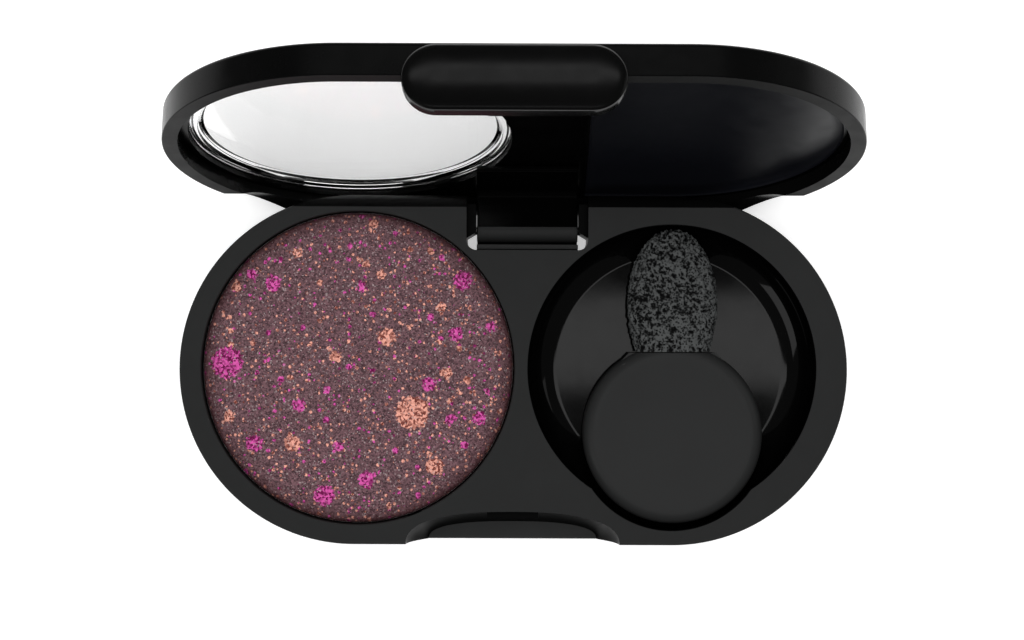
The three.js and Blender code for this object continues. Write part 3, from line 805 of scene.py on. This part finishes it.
def lid_liner():
    top = LINER_BOTTOM + LINER_THICKNESS
    outline = LID_RADIUS - SKIRT - FIT
    piece = capsule("liner_tray", [(outline, LINER_BOTTOM), (outline, top)])
    opening = FLANGE_RADIUS + 0.05
    cut(piece, turned("window_tool", WINDOW_X, PAN_Y, [(opening, RIM), (opening, LID_TOP)]))
    half = ARM_WIDTH / 2
    dish_left = HINGE_X + half + 0.8
    cut(piece, dish_tool(dish_left, outline - 0.5, LINER_BOTTOM - 0.5, top - DISH_FLOOR))
    slot_front = HINGE_Y - KNUCKLE_RADIUS - FIT
    low = (HINGE_X - half - FIT, slot_front, 0)
    high = (HINGE_X + half + FIT, slot_front + 2.6, 30)
    cut(piece, block("slot_tool", low, high))
    for angle in (55, 125, 235, 305):
        add(piece, lug_tool(angle))
    piece.data.materials.append(liner_gloss)
    piece.data.materials.append(dish_painted_reflection)
    # The dish faces take the lighter bluish copy of the liner's black: painted reflection.
    for face in piece.data.polygons:
        x, y, z = face.center / MM
        if x > dish_left and LINER_BOTTOM + 0.02 < z < top - 0.05 and abs(y) < outline - 0.2:
            face.material_index = 1
    piece.data.transform(in_metres(lid_turn))
    return settle(piece, "lid", ["lid_liner"])


def dish_tool(left, radius, bottom, top):
    """The shallow dish over the applicator: the right part of the outline, with a soft foot."""
    rings = []
    soft = 1.2
    for i in range(9):
        angle = math.pi / 2 * i / 8
        inset = soft * (1 - math.cos(angle))
        z = top - 0.35 + 0.35 * math.sin(angle)
        ring = [(left + inset, -radius + inset, z)]
        for k in range(65):
            turn = math.pi * k / 64 - math.pi / 2
            x = HALF_SPAN + (radius - inset) * math.cos(turn)
            ring.append((x, (radius - inset) * math.sin(turn), z))
        ring.append((left + inset, radius - inset, z))
        rings.append(ring)
    rings.insert(0, [(x, y, bottom) for x, y, z in rings[0]])
    return stack("dish_tool", rings)


def lug_tool(angle):
    turn = Matrix.Translation((WINDOW_X, PAN_Y, 0)) @ Matrix.Rotation(math.radians(angle), 4, "Z")
    low = (FLANGE_RADIUS - 0.65, -1, LINER_BOTTOM)
    return block("lug_tool", low, (FLANGE_RADIUS + 0.2, 1, WINDOW_BOTTOM - 0.1), turn)


def lid_window():
    """A clear pane flush with the lid, with a thick stepped frame on its inner side."""
    edge = 0.12
    pane_under = WINDOW_TOP - WINDOW_PANE
    view = FRAME_RADIUS - WINDOW_FRAME
    flange_top = LID_TOP - WINDOW_LIP - 0.1
    profile = [(0.2, pane_under), (view - 0.25, pane_under), (view, pane_under - 0.25)]
    profile += [(view, WINDOW_BOTTOM + 0.35), (view + 0.3, WINDOW_BOTTOM + 0.2)]
    profile += [(view + 0.35, WINDOW_BOTTOM)]
    profile += arc(FLANGE_RADIUS - edge, WINDOW_BOTTOM + edge, edge, -90, 0, 4)
    profile += arc(FLANGE_RADIUS - edge, flange_top - edge, edge, 0, 90, 4)
    profile += [(FRAME_RADIUS, flange_top)]
    profile += arc(FRAME_RADIUS - 0.25, WINDOW_TOP - 0.25, 0.25, 0, 90, 5)
    piece = turned("clear_disc", WINDOW_X, PAN_Y, profile)
    piece.data.transform(in_metres(lid_turn))
    piece.data.materials.append(clear_plastic())
    return settle(piece, "lid", ["lid_window"])


def hinge_arm():
    """The arm with its round knuckle below and a flat foot, eased into it, against the liner."""
    front = HINGE_Y - KNUCKLE_RADIUS
    back = HINGE_Y + KNUCKLE_RADIUS
    top = PLATE_UNDER - FIT
    foot_top = LINER_BOTTOM - FIT
    foot_low = foot_top - FOOT_THICKNESS
    foot_front = front - FOOT_LENGTH
    ease = 0.8
    edge = 0.3
    outline = [(back, top), (front, top), (front, foot_top), (foot_front, foot_top)]
    outline += arc(foot_front + edge, foot_low + edge, edge, 180, 270, 6)
    outline += arc(front - ease, foot_low - ease, ease, 90, 0, 8)
    outline += arc(HINGE_Y, HINGE_Z, KNUCKLE_RADIUS, 180, 360, 30)
    piece = prism_x("hinge_leaf", outline, HINGE_X - ARM_WIDTH / 2, HINGE_X + ARM_WIDTH / 2)
    piece.data.materials.append(liner_gloss)
    piece.data.materials.append(satin)
    # The knuckle's lower faces take the lighter satin black: a painted highlight on the arm's own
    # plastic.
    for face in piece.data.polygons:
        if face.center.z / MM < HINGE_Z - 0.02 and abs(face.center.x / MM - HINGE_X) < 1:
            face.material_index = 1
    piece.data.transform(in_metres(lid_turn))
    soften = piece.modifiers.new("soften", "BEVEL")
    soften.width = SOFTENED_CORNER * MM
    soften.segments = 3
    soften.limit_method = "ANGLE"
    return settle(piece, "lid", ["hinge_arm"])


def pill_ring(inset, y, bottom, top, half):
    radius = (top - bottom) / 2
    ring = []
    for side in (1, -1):
        for i in range(33):
            angle = math.pi * i / 32 - math.pi / 2
            if side < 0:
                angle += math.pi
            x = side * (half - radius) + (radius - inset) * math.cos(angle)
            ring.append((x, y, (bottom + top) / 2 + (radius - inset) * math.sin(angle)))
    return ring


def latch_tab():
    """A cushioned tab on the front of the lid, thicker below the rim, with its hook."""
    front = -LID_RADIUS - 0.1
    depth = TAB_DEPTH
    bottom = RIM - TAB_BELOW
    top = RIM + TAB_ABOVE
    half = TAB_HALF
    soft = 2.7
    rings = [pill_ring(0.12, front, bottom, top, half)]
    for i in range(17):
        angle = math.pi / 2 * i / 16
        inset = soft * (1 - math.cos(angle))
        rings.append(pill_ring(inset, front - 0.1 - (depth - 0.1) * math.sin(angle), bottom, top, half))
    piece = stack("latch_pad", rings)
    grip = -END_RADIUS + 1.3
    back = [pill_ring(0.1, front - 0.15, bottom, top, half), pill_ring(0, front + 0.1, bottom, top, half)]
    for i in range(7):
        angle = math.pi / 2 * i / 6
        y = grip - 0.6 + 0.6 * math.sin(angle)
        back.append(pill_ring(0.6 * (1 - math.cos(angle)), y, bottom, top, half))
    heel = stack("heel_tool", back)
    cut(heel, block("rim_tool", (-20, front - 0.05, RIM - 0.2), (20, 0, 30)))
    add(piece, heel)
    hook_low = (-HOOK_HALF, grip - 0.1, DECK - 2.6)
    add(piece, block("hook_tool", hook_low, (HOOK_HALF, HOOK_END, DECK - 1.8)))
    piece.data.transform(in_metres(lid_turn))
    piece.data.materials.append(tab_black)
    return settle(piece, "lid", ["latch_tab"])


# Frame nodes whose shape is right, with a finer material.
def finish_cad_nodes():
    finishes = {
        "pan_adhesive": matt("glue", (0.55, 0.52, 0.45), 4),
        "hinge_pin": metal("pin_steel", (0.55, 0.55, 0.56), 0.25),
        "underside_label": matt("label_paper", (0.32, 0.32, 0.31), 10),
    }
    for name, material in finishes.items():
        slots = frame["nodes"][name].data.materials
        slots.clear()
        slots.append(material)


# Stage.
def floor():
    size = FLOOR_HALF
    corners = [(-size, -size, 0), (size, -size, 0), (size, size, 0), (-size, size, 0)]
    piece = make("floor", corners, [(0, 1, 2, 3)])
    piece.data.materials.append(pale_floor())


def panel(name, at, aim, width, depth, power, shown=True):
    """A soft rectangular light, placed in millimetres. Reflections show it where shown is set."""
    light = bpy.data.lights.new(name, "AREA")
    light.shape = "RECTANGLE"
    light.size = width * MM
    light.size_y = depth * MM
    light.energy = power
    holder = bpy.data.objects.new(name, light)
    bpy.context.scene.collection.objects.link(holder)
    holder.location = Vector(at) * MM
    holder.rotation_euler = (Vector(aim) - Vector(at)).to_track_quat("-Z", "Y").to_euler()
    holder.visible_camera = False
    holder.visible_glossy = shown
    return holder


def lights():
    world = bpy.data.worlds.new("studio")
    bpy.context.scene.world = world
    world.use_nodes = True
    background = world.node_tree.nodes["Background"]
    background.inputs["Color"].default_value = (1, 1, 1, 1)
    background.inputs["Strength"].default_value = 0.05
    panel("overhead", (0, -1.6, 450), (0, -1.6, 0), 260, 25, 0.018)
    panel("key", (-330, -180, 260), (0, 0, 0), 240, 240, 0.11)
    panel("side", (430, 160, 220), (0, 0, 0), 260, 260, 0.06)
    panel("back", (0, 400, 430), (0, 20, 30), 460, 70, 0.10)
    panel("wash", (0, 0, 900), (0, 0, 0), 1200, 1200, 12, shown=False)


def camera():
    height = 238.4
    view_width = 102.4
    roll = math.radians(0.216)
    data = bpy.data.cameras.new("camera")
    data.sensor_width = 36
    data.lens = 36 * height / view_width
    holder = bpy.data.objects.new("camera", data)
    bpy.context.scene.collection.objects.link(holder)
    holder.location = Vector((-0.14, 4.99, DECK + height)) * MM
    holder.rotation_euler = (0, 0, roll)
    bpy.context.scene.camera = holder


bpy.context.scene.view_settings.view_transform = "Standard"
camera()
lights()
floor()
finish_cad_nodes()
base_body()
bottom_cover()
eyeshadow()
pan()
applicator_handle()
sponge_tip()
lid_shell()
lid_liner()
lid_window()
hinge_arm()
latch_tab()
